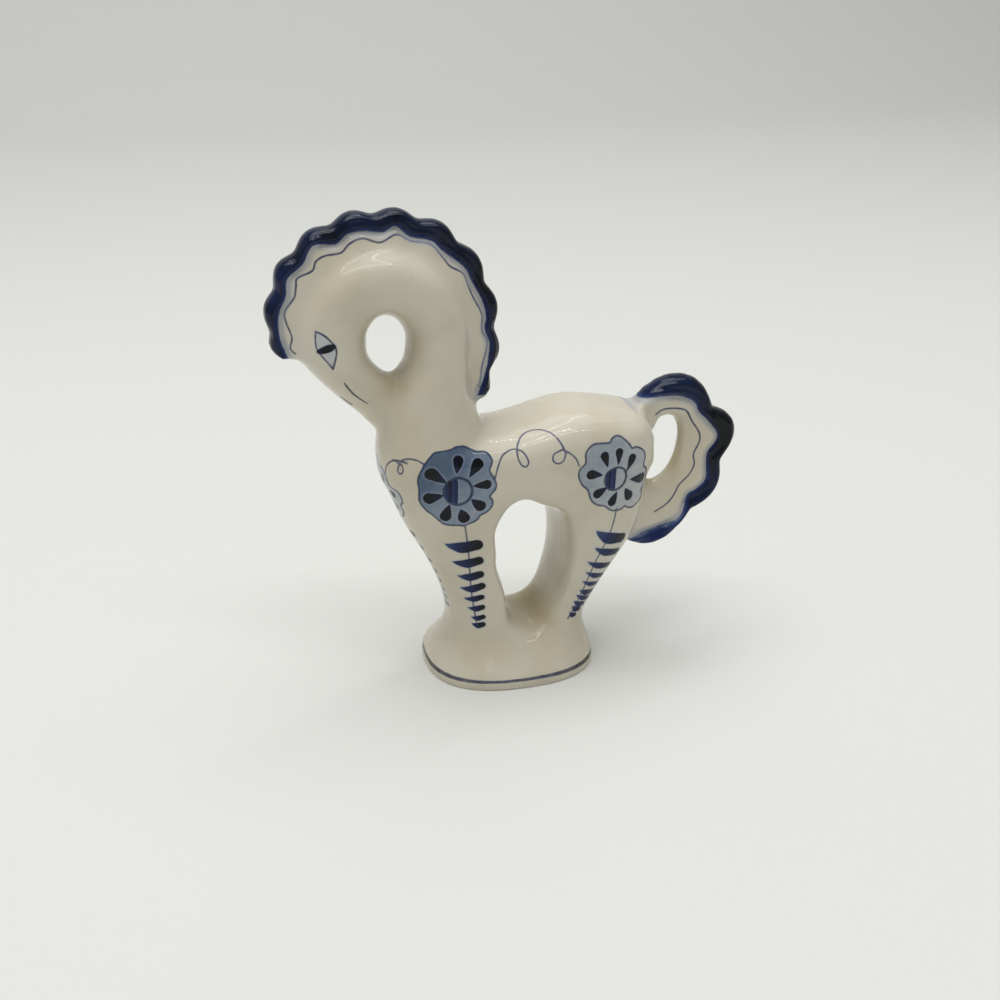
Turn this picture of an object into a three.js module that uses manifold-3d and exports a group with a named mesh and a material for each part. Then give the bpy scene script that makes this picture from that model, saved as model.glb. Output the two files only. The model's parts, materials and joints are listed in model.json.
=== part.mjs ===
// Blue-and-white porcelain horse figurine: a hollow slip casting whose neck curls over into a ring,
// with a scalloped mane and tail luted to it. Millimetres, +Z up, the horse faces -X.
// Every soft form is a loft: sections drawn in the side view, each with half its width across the horse.
import * as THREE from 'three';
import { mergeVertices, toCreasedNormals } from 'three/addons/utils/BufferGeometryUtils.js';
import Module from 'manifold-3d';

const wasm = await Module();
wasm.setup();

// Clay
const WALL = 3; // thickness of the cast wall
const SLIP = 0.3; // width of the slip seam between two luted pieces
const DRAIN_RADIUS = 2.5; // hole under the foot that the casting was drained and fired through

// Foot
const FOOT_LENGTH = 38.2;
const FOOT_WIDTH = 33.6;
const FOOT_EDGE = 2.4; // upright edge that the base line is painted on
const FOOT_HEIGHT = 11.5; // up to the ankles
const FOOT_SEAM = 8.6; // the legs are luted on here, inside the flare
const FOOT_SQUARENESS = 2.5; // exponent of the oval: 2 is an ellipse
const FOOT_RING = 3.4; // unglazed ring that the horse stands on
const FOOT_HOLLOW = 0.8; // depth inside that ring
const ANKLE_LENGTH = 31; // both ankles together
const ANKLE_WIDTH = 21;
const ANKLE_SHIFT = 1.4; // the ankles stand this far behind the middle of the foot

// Window between the legs, a leaning oval
const WINDOW_X = 3.4;
const WINDOW_Z = 25.8;
const WINDOW_LENGTH = 15;
const WINDOW_HEIGHT = 30.6;
const WINDOW_LEAN = 0.04; // the top stands behind the bottom
const WINDOW_ROUNDING = 3.2; // it is this much wider all round at the flanks than inside

// Barrel
const BACK_Z = 59.8; // height of the back
const BARREL_DEPTH = 20.4; // belly to back
const BARREL_WIDTH = 25.4;
const BACK_SAG = 3; // the back hangs this much behind the neck
const BARREL_SQUARENESS = 2.6; // its flanks run straight down into the legs
const LEG_SQUARENESS = 3;
const CHEST_X = -28.4;
const RUMP_X = 32.6;

// Neck ring
const RING_BACK = 2.9; // middle of the eye, the hole that the neck curls round, behind the chest
const RING_RISE = 15.6; // and above the back
const EYE_LENGTH = 8.8;
const EYE_HEIGHT = 12.8;
const EYE_LEAN = -0.1; // the bottom stands behind the top
const CREST_LENGTH = 36.4; // oval ridge of the neck, which the mane stands on
const CREST_HEIGHT = 40.2;
const CREST_RISE = 0.9; // middle of the crest above the middle of the eye
const CREST_SHIFT = -1; // and in front of it
const NECK_WIDTH = 16.6;
const POLL_DEG = 150; // seam between neck and head, round the eye from the tail side
const MUZZLE_DEG = 256; // seam where the muzzle is stuck to the throat

// Mane: the notches were pinched by hand, so they are not evenly spaced
const MANE_NOTCHES_DEG = [188, 173, 153, 134, 113, 92, 70, 48, 25, 3, -18, -37];
const MANE_REACH = 5.1; // crest to the notches between the lobes
const LOBE_HEIGHT = 1.5;
const MANE_CORNER = 0.5; // the outline is a little squarer than the oval of the crest
const RIM_BREADTH = 3.5; // blue rolled edge, in the side view
const RIM_WIDTH = 6.9; // and across the horse
const BAND_WIDTH = 8; // white band between the crest and the blue edge, where it is widest

// Tail: a fan round its own window, from the croup over and down to the thigh
const TAIL_NOTCHES_DEG = [117, 44, -2, -46, -114];
const TAIL_OUT = 1.2; // middle of the fan behind the rump
const TAIL_DROP = 15.8; // and below the back
const TAIL_LENGTH = 31.6; // twice the reach to the notches
const TAIL_HEIGHT = 34.2;
const TAIL_LOBES = [2.9, 3.1, 2, 2.9]; // heights of the four lobes, from the croup down
const TAIL_LEAN = 0.16; // the top stands behind the bottom
const TAIL_WINDOW_LENGTH = 9;
const TAIL_WINDOW_HEIGHT = 15.6;
const TAIL_WIDTH = 5.4;

const BELLY_Z = BACK_Z - BARREL_DEPTH;
const RING_X = CHEST_X + RING_BACK;
const EYE_Z = BACK_Z + RING_RISE;
const CREST_Z = EYE_Z + CREST_RISE;
const TAIL_X = RUMP_X + TAIL_OUT;
const TAIL_Z = BACK_Z - TAIL_DROP;

const porcelain = new THREE.MeshStandardMaterial({ color: 0xe6e1d3, roughness: 0.16, metalness: 0 });
const cobalt = new THREE.MeshStandardMaterial({ color: 0x0c1640, roughness: 0.12, metalness: 0 });

const radians = THREE.MathUtils.degToRad;
const mix = THREE.MathUtils.lerp;

// A closed geometry as a manifold-3d solid.
function solid(geometry) {
  const bare = geometry.clone();
  bare.deleteAttribute('normal');
  bare.deleteAttribute('uv');
  const merged = mergeVertices(bare, 1e-4);
  return new wasm.Manifold(new wasm.Mesh({
    numProp: 3,
    vertProperties: merged.attributes.position.array,
    triVerts: new Uint32Array(merged.index.array),
  }));
}

// Rings of points one after the other, all with the same number of sides, as a closed solid.
function tube(points, count, sides) {
  const faces = [];
  for (let i = 0; i < count - 1; i += 1) {
    for (let j = 0; j < sides; j += 1) {
      const here = i * sides + j;
      const next = i * sides + ((j + 1) % sides);
      faces.push(here, next, next + sides, here, next + sides, here + sides);
    }
  }
  const middleOf = (ring) =>
    ring.reduce((sum, point) => sum.add(point), new THREE.Vector3()).divideScalar(sides);
  const ends = points.length;
  const all = [...points, middleOf(points.slice(0, sides)), middleOf(points.slice(-sides))];
  for (let j = 0; j < sides; j += 1) {
    const next = (j + 1) % sides;
    faces.push(ends, next, j, ends + 1, ends - sides + j, ends - sides + next);
  }
  const geometry = new THREE.BufferGeometry().setFromPoints(all).setIndex(faces);
  const made = solid(geometry);
  if (made.volume() > 0) return made;
  for (let i = 0; i < faces.length; i += 3) [faces[i], faces[i + 1]] = [faces[i + 1], faces[i]];
  return solid(geometry.setIndex(faces));
}

// A loft. section(t) gives, for t from 0 to 1, the two edge points of a section in the side view
// and half its width: { a: [x, z], b: [x, z], half }. grow moves the whole skin out, or in if negative.
function loft(section, { rings, sides = 24, squareness = 2.2, grow = 0 }) {
  let rows = [];
  for (let i = 0; i <= rings; i += 1) {
    const { a, b, half } = section(i / rings);
    const middle = new THREE.Vector3((a[0] + b[0]) / 2, 0, (a[1] + b[1]) / 2);
    rows.push({ middle, along: new THREE.Vector3(b[0] - a[0], 0, b[1] - a[1]), half });
  }
  const before = rows[0].middle.clone().sub(rows[1].middle).normalize();
  const after = rows[rings].middle.clone().sub(rows[rings - 1].middle).normalize();
  const [first, last] = [rows[0].middle.clone(), rows[rings].middle.clone()];
  const inside = ({ middle }) => middle.distanceTo(first) > -grow && middle.distanceTo(last) > -grow;
  rows = [rows[0], ...rows.slice(1, rings).filter(inside), rows[rings]];
  rows[0].middle.addScaledVector(before, grow);
  rows[rows.length - 1].middle.addScaledVector(after, grow);
  const thinnest = 0.3;
  const points = [];
  for (const { middle, along, half } of rows) {
    const reach = Math.max(along.length() / 2 + grow, thinnest);
    const wide = Math.max(half + grow, thinnest);
    along.normalize();
    for (let j = 0; j < sides; j += 1) {
      const turn = (j / sides) * 2 * Math.PI;
      const c = Math.cos(turn);
      const s = Math.sin(turn);
      const u = reach * Math.sign(c) * Math.abs(c) ** (2 / squareness);
      const v = wide * Math.sign(s) * Math.abs(s) ** (2 / squareness);
      points.push(middle.clone().addScaledVector(along, u).add(new THREE.Vector3(0, v, 0)));
    }
  }
  return tube(points, rows.length, sides);
}

// A smooth section function through rows of [ax, az, bx, bz, half].
function through(rows) {
  const curve = (at) => new THREE.CatmullRomCurve3(rows.map(at), false, 'catmullrom', 0.5);
  const edgeA = curve((r) => new THREE.Vector3(r[0], r[4], r[1]));
  const edgeB = curve((r) => new THREE.Vector3(r[2], r[4], r[3]));
  return (t) => {
    const a = edgeA.getPoint(t);
    const b = edgeB.getPoint(t);
    return { a: [a.x, a.z], b: [b.x, b.z], half: a.y };
  };
}

// The inside of the casting needs fewer facets than its skin.
const facets = (grow, rings, sides) =>
  grow < 0 ? { rings: Math.round(rings * 0.5), sides: 10, grow } : { rings, sides, grow };

const onOval = (x, z, length, height, degrees, out = 0) => [
  x + (length / 2 + out) * Math.cos(radians(degrees)),
  z + (height / 2 + out) * Math.sin(radians(degrees)),
];
const onCrest = (degrees, out = 0) =>
  onOval(RING_X + CREST_SHIFT, CREST_Z, CREST_LENGTH, CREST_HEIGHT, degrees, out);
const leaning = ([x, z], middle, lean) => [x + lean * (z - middle), z];
const onEye = (degrees, out = 0) =>
  leaning(onOval(RING_X, EYE_Z, EYE_LENGTH, EYE_HEIGHT, degrees, out), EYE_Z, EYE_LEAN);
const onWindow = (degrees, out = 0) => {
  const point = onOval(WINDOW_X, WINDOW_Z, WINDOW_LENGTH, WINDOW_HEIGHT, degrees, out);
  return leaning(point, WINDOW_Z, WINDOW_LEAN);
};

// The five forms of the casting, and the window cut through them
const POLL_LAP = 36; // the head and the neck run into each other this far round the eye

function foot(grow) {
  const row = (z, share, closed = 0) => {
    const x = ANKLE_SHIFT * share;
    const half = (mix(FOOT_LENGTH, ANKLE_LENGTH, share) / 2) * (1 - closed);
    return [x - half, z, x + half, z, (mix(FOOT_WIDTH, ANKLE_WIDTH, share) / 2) * (1 - closed)];
  };
  const rise = (share) => mix(FOOT_EDGE, FOOT_HEIGHT, share);
  return loft(through([
    row(0, 0.06),
    row(0.5, 0),
    row(rise(0), 0),
    row(rise(0.2), 0.24),
    row(rise(0.45), 0.58),
    row(rise(0.68), 0.86),
    row(rise(0.78), 0.96),
    row(rise(0.84), 0.98, 0.14),
    row(rise(0.88), 1, 0.45),
    row(rise(0.9), 1, 0.7),
  ]), { ...facets(grow, 18, 32), squareness: FOOT_SQUARENESS });
}

// Half the width of the body at a height: it widens from the ankles to the barrel.
const flankAt = (z) => {
  const share = THREE.MathUtils.smoothstep(z, FOOT_HEIGHT + 3, BELLY_Z + 8);
  return mix(ANKLE_WIDTH, BARREL_WIDTH, share) / 2;
};

// Front and hind legs are one form, from inside the foot up into the barrel.
function legs(grow) {
  const toe = ANKLE_SHIFT - ANKLE_LENGTH / 2;
  const heel = ANKLE_SHIFT + ANKLE_LENGTH / 2;
  const row = (front, low, rear, high, share = 1) =>
    [front, low, rear, high, flankAt((low + high) / 2) * share];
  return loft(through([
    row(toe, FOOT_EDGE + 1, heel, FOOT_EDGE + 1),
    row(toe + 0.2, FOOT_HEIGHT - 3, heel, FOOT_HEIGHT - 3),
    row(toe + 0.2, FOOT_HEIGHT + 0.6, heel + 0.2, FOOT_HEIGHT + 0.2, 0.98),
    row(toe - 0.4, FOOT_HEIGHT + 5, heel + 2.8, FOOT_HEIGHT + 4.8, 0.97),
    row(toe - 2.4, FOOT_HEIGHT + 11, heel + 6.5, FOOT_HEIGHT + 10.4, 0.98),
    row(toe - 5.5, FOOT_HEIGHT + 17.6, heel + 10.6, FOOT_HEIGHT + 16.6),
    row(toe - 9.2, FOOT_HEIGHT + 24.2, heel + 13.4, FOOT_HEIGHT + 22.8),
    row(CHEST_X + 2.2, BELLY_Z + 3.4, RUMP_X - 1.6, BELLY_Z + 2),
    row(CHEST_X + 1.2, BELLY_Z + 8, RUMP_X - 0.8, BELLY_Z + 7),
    row(CHEST_X + 2.6, BELLY_Z + 11.4, RUMP_X - 2.6, BELLY_Z + 11, 0.94),
    row(CHEST_X + 7, BELLY_Z + 13.2, RUMP_X - 8, BELLY_Z + 13.2, 0.6),
  ]), { ...facets(grow, 20, 30), squareness: LEG_SQUARENESS });
}

// What the window takes away: an oval through the horse that opens softly towards both flanks.
function windowCut(grow) {
  const sides = grow < 0 ? 14 : 28;
  const near = [0.4, 0.7, 0.88, 0.97, 1, 1.2]; // shares of the way from the middle plane to a flank
  const rows = [...near.map((share) => -share).reverse(), 0, ...near];
  const opened = (share, degrees) => {
    const most = WINDOW_ROUNDING * mix(0.55, 1, (1 + Math.sin(radians(degrees))) / 2);
    return most * (1 - Math.sqrt(1 - Math.min(Math.abs(share), 1) ** 2));
  };
  const points = rows.flatMap((share) => Array.from({ length: sides }, (_, j) => {
    const degrees = (j / sides) * 360;
    const [x, z] = onWindow(degrees, opened(share, degrees) - grow);
    return new THREE.Vector3(x, share * (flankAt(onWindow(degrees)[1]) + grow), z);
  }));
  return tube(points, rows.length, sides);
}

function barrel(grow) {
  const mid = (BELLY_Z + BACK_Z) / 2;
  const low = BELLY_Z + 3.6; // its underside lies inside the legs
  const half = BARREL_WIDTH / 2;
  return loft(through([
    [CHEST_X + 0.2, mid, CHEST_X + 0.2, mid + 5, 2.5],
    [CHEST_X + 1, mid - 4.5, CHEST_X + 1, mid + 7, half * 0.5],
    [CHEST_X + 3.4, mid - 6, CHEST_X + 3.4, BACK_Z - 1.4, half * 0.7],
    [CHEST_X + 9, low, CHEST_X + 9, BACK_Z - 1.8, half * 0.9],
    [CHEST_X + 19, low, CHEST_X + 19, BACK_Z - BACK_SAG, half],
    [WINDOW_X - 4, low, WINDOW_X - 4, BACK_Z - BACK_SAG, half],
    [WINDOW_X + 4, low, WINDOW_X + 4, BACK_Z - 0.9, half * 1.01],
    [RUMP_X - 18, low, RUMP_X - 18, BACK_Z + 0.4, half * 1.02],
    [RUMP_X - 9, low, RUMP_X - 9, BACK_Z - 0.8, half * 0.96],
    [RUMP_X - 3.6, low + 0.5, RUMP_X - 3.6, BACK_Z - 2.2, half * 0.78],
    [RUMP_X - 1, mid - 6, RUMP_X - 1.6, mid + 4, half * 0.54],
    [RUMP_X - 0.2, mid - 3, RUMP_X - 0.6, mid + 0.5, 2.5],
  ]), { ...facets(grow, 20, 24), squareness: BARREL_SQUARENESS });
}

function neck(grow) {
  const half = NECK_WIDTH / 2;
  const ring = (degrees, width = half) => [...onEye(degrees), ...onCrest(degrees), width];
  const [eyeX, eyeLow] = onEye(270);
  return loft(through([
    [CHEST_X + 0.9, BACK_Z - 11, -8, BACK_Z - 8, half + 3.8],
    [CHEST_X + 0.2, BACK_Z - 5, -6.2, BACK_Z - 2, half + 3.6],
    [CHEST_X + 0.8, BACK_Z, -7.6, BACK_Z + 2.2, half + 2.6],
    [eyeX - 0.4, eyeLow - 2, -8.8, BACK_Z + 6.5, half + 1.4],
    [...onEye(294, -0.2), -8.7, BACK_Z + 9.2, half + 0.9],
    [...onEye(324, -0.3), ...onCrest(-14), half + 0.5],
    ring(10, half + 0.2),
    ring(40),
    ring(66),
    ring(90),
    ring(120),
    ring(POLL_DEG),
    ring(POLL_DEG + POLL_LAP),
  ]), { ...facets(grow, 24, 22), squareness: 2.1 });
}

function head(grow) {
  const half = NECK_WIDTH / 2;
  const [eyeX, eyeLow] = onEye(270);
  const brow = onCrest(188, -1.2);
  return loft(through([
    [...onEye(POLL_DEG - POLL_LAP), ...onCrest(POLL_DEG - POLL_LAP), half],
    [...onEye(POLL_DEG), ...onCrest(POLL_DEG), half],
    [...onEye(174), ...onCrest(170), half],
    [...onEye(202), ...brow, half],
    [...onEye(232, -0.6), brow[0] + 4.1, brow[1] - 5.1, half - 0.7],
    [eyeX, eyeLow + 0.3, brow[0] + 7.7, brow[1] - 9.1, half - 1.6],
    [eyeX + 1.2, eyeLow - 1.6, brow[0] + 11.3, brow[1] - 12.2, half - 2],
    [eyeX + 3.6, eyeLow - 4, brow[0] + 14.3, brow[1] - 15.9, half - 2.4],
  ]), { ...facets(grow, 17, 22), squareness: 2.1 });
}

function casting(grow) {
  return [foot, legs, barrel, neck, head]
    .map((form) => form(grow))
    .reduce((whole, form) => whole.add(form))
    .subtract(windowCut(grow));
}

// Scallops along a strip: the angle at t, 0 in a notch to 1 at the top of a lobe, and which lobe.
function scallop(notches, t) {
  const turns = t * (notches.length - 1);
  const which = Math.min(Math.floor(turns), notches.length - 2);
  const rounding = 0.16;
  const wave = Math.hypot(Math.sin(Math.PI * turns), rounding);
  const swell = (wave - rounding) / (Math.hypot(1, rounding) - rounding);
  return [mix(notches[which], notches[which + 1], turns - which), swell, which];
}
// From least at both ends of a strip to 1, in quarter rounds that take a share of its length.
function taper(t, least, first, last) {
  const near = Math.min(t / first, (1 - t) / last, 1);
  return mix(least, 1, Math.sqrt(1 - (1 - near) ** 2));
}
const BAND_ROOT = 6; // the band is an oval whose wide middle lies on the crest

const MANE_RINGS = (MANE_NOTCHES_DEG.length - 1) * 6;
function maneEdge(t) {
  const [degrees, swell] = scallop(MANE_NOTCHES_DEG, t);
  const full = taper(t, 0.1, 0.24, 0.035);
  const corner = MANE_CORNER * Math.sin(radians(2 * degrees)) ** 2;
  return { degrees, swell, full, reach: (MANE_REACH + corner + LOBE_HEIGHT * swell) * full };
}
const maneRim = (grow) => loft((t) => {
  const { degrees, swell, full, reach } = maneEdge(t);
  return {
    a: onCrest(degrees, reach - RIM_BREADTH * full * mix(0.86, 1, swell)),
    b: onCrest(degrees, reach),
    half: (RIM_WIDTH / 2) * mix(0.94, 1, swell) * mix(0.5, 1, full),
  };
}, { rings: MANE_RINGS, sides: 10, grow });
const maneBand = (grow) => loft((t) => {
  const { degrees, full, reach } = maneEdge(mix(0.03, 0.985, t));
  return {
    a: onCrest(degrees, -BAND_ROOT),
    b: onCrest(degrees, reach - RIM_BREADTH / 2),
    half: (BAND_WIDTH / 2) * mix(0.5, 1, full),
  };
}, { rings: MANE_RINGS, sides: 10, squareness: 2, grow });

const TAIL_RINGS = (TAIL_NOTCHES_DEG.length - 1) * 8;
const onFan = (degrees, out) =>
  leaning(onOval(TAIL_X, TAIL_Z, TAIL_LENGTH, TAIL_HEIGHT, degrees, out), TAIL_Z, TAIL_LEAN);
const onTailWindow = (degrees) => {
  const point = onOval(TAIL_X + 1, TAIL_Z + 3.2, TAIL_WINDOW_LENGTH, TAIL_WINDOW_HEIGHT, degrees);
  return leaning(point, TAIL_Z + 3.2, TAIL_LEAN);
};
const tailRim = (grow) => loft((t) => {
  const [degrees, swell, which] = scallop(TAIL_NOTCHES_DEG, t);
  const reach = TAIL_LOBES[which] * swell;
  return {
    a: onFan(degrees, reach - RIM_BREADTH * mix(1.45, 0.8, t) * mix(0.86, 1, swell)),
    b: onFan(degrees, reach),
    half: (RIM_WIDTH / 2) * mix(0.94, 1, swell),
  };
}, { rings: TAIL_RINGS, sides: 10, grow });
const tailPlume = (grow) => loft((t) => {
  const [degrees, swell, which] = scallop(TAIL_NOTCHES_DEG, t);
  return {
    a: onTailWindow(mix(150, -140, t)),
    b: onFan(degrees, TAIL_LOBES[which] * swell - RIM_BREADTH / 2),
    half: TAIL_WIDTH / 2,
  };
}, { rings: TAIL_RINGS, sides: 10, squareness: 3, grow });

// Seams: half spaces that keep what lies on the side their normal points to.
const keep = (shape, seams, back = SLIP / 2) =>
  seams.reduce((left, { normal, through: point }) => {
    const n = new THREE.Vector3(...normal).normalize();
    return left.trimByPlane(n.toArray(), n.dot(new THREE.Vector3(point[0], 0, point[1])) + back);
  }, shape);
const turned = (seam) => ({ ...seam, normal: seam.normal.map((v) => -v) });

const footSeam = { normal: [0, 0, 1], through: [0, FOOT_SEAM] };
const bellySeam = { normal: [0, 0, 1], through: [0, BELLY_Z + 0.5] };
const windowSeam = { normal: [1, 0, -WINDOW_LEAN], through: [WINDOW_X, WINDOW_Z] };
const throat = [CHEST_X + 0.2, BACK_Z - 2.6];
const withers = [-7, BACK_Z];
const neckSeam = {
  normal: [-(withers[1] - throat[1]), 0, withers[0] - throat[0]],
  through: throat,
};
const spoke = (degrees, side) => ({
  normal: [-side * Math.sin(radians(degrees)), 0, side * Math.cos(radians(degrees))],
  through: [RING_X, EYE_Z],
});
const headSeams = [spoke(POLL_DEG, 1), spoke(MUZZLE_DEG, -1)];

const cavity = casting(-WALL);
const bore = new THREE.CylinderGeometry(DRAIN_RADIUS, DRAIN_RADIUS, 4 * WALL, 16);
const drain = solid(bore.rotateX(Math.PI / 2));
const hollow = loft((t) => {
  const x = FOOT_LENGTH / 2 - FOOT_RING;
  const z = mix(-1, FOOT_HOLLOW, t);
  return { a: [-x, z], b: [x, z], half: FOOT_WIDTH / 2 - FOOT_RING };
}, { rings: 1, sides: 24, squareness: FOOT_SQUARENESS });
const shell = casting(0).subtract(cavity).subtract(drain).subtract(hollow);
const touching = casting(SLIP);

const upper = keep(shell, [neckSeam]);
const lower = keep(shell, [turned(neckSeam)]);
const middle = keep(lower, [footSeam]);
const belowBelly = keep(middle, [turned(bellySeam)]);
const reachOfAll = 400;
const block = solid(new THREE.BoxGeometry(reachOfAll, reachOfAll, reachOfAll));

const rimOfMane = maneRim(0).subtract(touching);
const rimOfTail = tailRim(0).subtract(touching);
const pieces = {
  foot: [keep(lower, [turned(footSeam)]), porcelain],
  front_legs: [keep(belowBelly, [turned(windowSeam)]), porcelain],
  hind_legs: [keep(belowBelly, [windowSeam]), porcelain],
  barrel: [keep(middle, [bellySeam]), porcelain],
  neck: [upper.subtract(keep(block, headSeams, -SLIP / 2)), porcelain],
  head: [keep(upper, headSeams), porcelain],
  mane_band: [maneBand(0).subtract(touching).subtract(maneRim(SLIP)), porcelain],
  mane_rim: [rimOfMane, cobalt],
  tail_plume: [tailPlume(0).subtract(touching).subtract(tailRim(SLIP)), porcelain],
  tail_rim: [rimOfTail, cobalt],
};

// The solid as a mesh that three.js can draw.
function meshOf(name, made, material) {
  const { numProp, vertProperties, triVerts } = made.getMesh();
  const positions = new Float32Array((vertProperties.length / numProp) * 3);
  for (let i = 0; i < positions.length / 3; i += 1) {
    positions.set(vertProperties.subarray(i * numProp, i * numProp + 3), i * 3);
  }
  const geometry = new THREE.BufferGeometry()
    .setAttribute('position', new THREE.BufferAttribute(positions, 3))
    .setIndex(new THREE.BufferAttribute(triVerts, 1));
  const mesh = new THREE.Mesh(toCreasedNormals(geometry, radians(40)), material);
  mesh.name = name;
  return mesh;
}

const horse = new THREE.Group();
horse.name = 'horse_figurine';
for (const [name, [made, material]] of Object.entries(pieces)) horse.add(meshOf(name, made, material));

// The origin is under the middle of the whole figure, on the table.
const box = new THREE.Box3().setFromObject(horse);
horse.position.x = -(box.min.x + box.max.x) / 2;

export default horse;
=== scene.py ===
# %% [markdown]
# # A blue-and-white porcelain horse
#
# The horse is one hollow porcelain casting, 103 mm high: its neck curls over into a ring, and a scalloped mane
# and tail are luted on. It is painted in cobalt and covered with a clear, glossy glaze. The CAD model gives its
# solids with flat facets and open slip seams; this notebook gives it the skin, the paint and the glaze.

# %% The fixed frame
import json
import math

import bpy
import numpy as np
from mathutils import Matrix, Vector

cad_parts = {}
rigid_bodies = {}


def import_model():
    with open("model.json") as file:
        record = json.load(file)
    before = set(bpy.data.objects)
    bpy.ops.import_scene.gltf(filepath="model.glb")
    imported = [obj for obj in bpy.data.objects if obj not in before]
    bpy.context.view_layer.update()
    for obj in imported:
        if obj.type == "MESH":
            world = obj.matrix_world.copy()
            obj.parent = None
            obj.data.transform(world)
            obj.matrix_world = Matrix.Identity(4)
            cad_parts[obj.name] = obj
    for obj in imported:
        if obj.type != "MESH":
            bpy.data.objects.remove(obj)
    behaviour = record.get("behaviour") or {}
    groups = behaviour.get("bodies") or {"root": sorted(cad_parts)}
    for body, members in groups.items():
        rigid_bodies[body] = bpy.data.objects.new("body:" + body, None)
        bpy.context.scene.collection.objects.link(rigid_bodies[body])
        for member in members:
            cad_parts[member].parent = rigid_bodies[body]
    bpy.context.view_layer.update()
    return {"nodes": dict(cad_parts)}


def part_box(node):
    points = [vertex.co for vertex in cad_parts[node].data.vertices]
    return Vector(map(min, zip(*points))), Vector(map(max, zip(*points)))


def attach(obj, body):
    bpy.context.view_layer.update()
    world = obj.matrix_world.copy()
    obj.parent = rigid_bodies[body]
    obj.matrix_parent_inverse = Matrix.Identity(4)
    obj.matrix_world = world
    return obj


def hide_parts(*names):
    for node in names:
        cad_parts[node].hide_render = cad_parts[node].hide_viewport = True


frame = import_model()
MM = 0.001
print("CAD nodes:", ", ".join(sorted(frame["nodes"])))

# %% [markdown]
# ## Where we look from
#
# The photograph was taken from the horse's left front, a little above it. A camera is turned about X from
# straight down and then about Z, so 90 degrees less the downward tilt of 23 degrees is 67.

# %% Camera
bpy.ops.object.camera_add(
    location=(-70.8 * MM, -253.2 * MM, 149.4 * MM),
    rotation=(math.radians(67), 0, math.radians(-15)),
)
camera = bpy.context.object
camera.name = "camera"
camera.data.lens = 46.8
camera.data.clip_start = 0.01
bpy.context.scene.camera = camera
print("camera", round(camera.location.length * 1000), "mm from the origin")

# %% [markdown]
# ## Nodes written as sums
#
# Shader maths is easier to read as `a * 2 + b` than as a web of boxes. This small class wraps one socket of a
# node, and each operator adds the Math node that it stands for.

# %% A small language for materials
class Value:
    """A number that changes over a surface: the output socket of a node."""

    def __init__(self, paint, socket):
        self.paint = paint
        self.socket = socket

    def math(self, operation, *others):
        return self.paint.node("ShaderNodeMath", {"operation": operation}, dict(enumerate((self, *others))))

    def __add__(self, other):
        return self.math("ADD", other)

    def __sub__(self, other):
        return self.math("SUBTRACT", other)

    def __rsub__(self, other):
        return self.paint.node("ShaderNodeMath", {"operation": "SUBTRACT"}, {0: other, 1: self})

    def __mul__(self, other):
        return self.math("MULTIPLY", other)

    __radd__ = __add__
    __rmul__ = __mul__

    def at_least(self, other):
        return self.math("MAXIMUM", other)


class Paint:
    """A material that is built step by step, and the nodes it is made of."""

    def __init__(self, name):
        self.material = bpy.data.materials.new(name)
        self.material.use_nodes = True
        self.tree = self.material.node_tree
        self.shader = self.tree.nodes["Principled BSDF"]

    def node(self, kind, settings=None, inputs=None, output=0):
        made = self.tree.nodes.new(kind)
        for key, setting in (settings or {}).items():
            if key == "stops":
                ramp = made.color_ramp
                for index, (place, color) in enumerate(setting):
                    stop = ramp.elements[index] if index < 2 else ramp.elements.new(place)
                    stop.position = place
                    stop.color = (*color, 1)
            else:
                setattr(made, key, setting)
        for key, value in (inputs or {}).items():
            self.feed(made.inputs[key], value)
        return Value(self, made.outputs[output])

    def feed(self, socket, value):
        if isinstance(value, Value):
            self.tree.links.new(value.socket, socket)
        else:
            socket.default_value = (*value, 1) if socket.type == "RGBA" else value

    def attribute(self, name, output="Fac"):
        return self.node("ShaderNodeAttribute", {"attribute_name": name}, output=output)

    def noise(self, scale, detail=3, rough=0.5, where=None, output=0):
        place = where or self.node("ShaderNodeTexCoord", output="Object")
        sockets = {"Vector": place, "Scale": scale, "Detail": detail, "Roughness": rough}
        return self.node("ShaderNodeTexNoise", {}, sockets, output)

    def span(self, value, low, high, start=0, end=1):
        """start where value is low, end where it is high, and a smooth change between."""
        sockets = {"Value": value, 1: low, 2: high, 3: start, 4: end}
        return self.node("ShaderNodeMapRange", {"interpolation_type": "SMOOTHSTEP"}, sockets)

    def blend(self, share, under, over, way="MIX"):
        settings = {"data_type": "RGBA", "blend_type": way}
        return self.node("ShaderNodeMix", settings, {0: share, 6: under, 7: over}, output=2)

    def finish(self, **sockets):
        for name, value in sockets.items():
            self.feed(self.shader.inputs[name.replace("_", " ")], value)
        return self.material


def srgb(red, green, blue):
    """A colour as a screen writes it, 0 to 255, as the light values that a shader works with."""
    return tuple((c / 255 / 12.92) if c < 10.3 else ((c / 255 + 0.055) / 1.055) ** 2.4 for c in (red, green, blue))


print("porcelain white as light:", [round(c, 3) for c in srgb(214, 209, 196)])

# %% [markdown]
# ## The skin of the casting
#
# Slip fills the seams between the luted pieces and the glaze rounds every inner corner, so on the real horse no
# seam shows. Bevels on each edge would be one way; here all the pieces are swollen by a third of a millimetre so
# that they run into each other, remeshed into one even skin, shrunk back and smoothed, as a wet sponge does it.

# %% One skin from the CAD pieces
def choose(piece):
    bpy.ops.object.select_all(action="DESELECT")
    piece.select_set(True)
    bpy.context.view_layer.objects.active = piece


def edit(piece, mode="VERT"):
    choose(piece)
    bpy.ops.object.mode_set(mode="EDIT")
    bpy.ops.mesh.select_mode(type=mode)


def done():
    bpy.ops.object.mode_set(mode="OBJECT")


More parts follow.
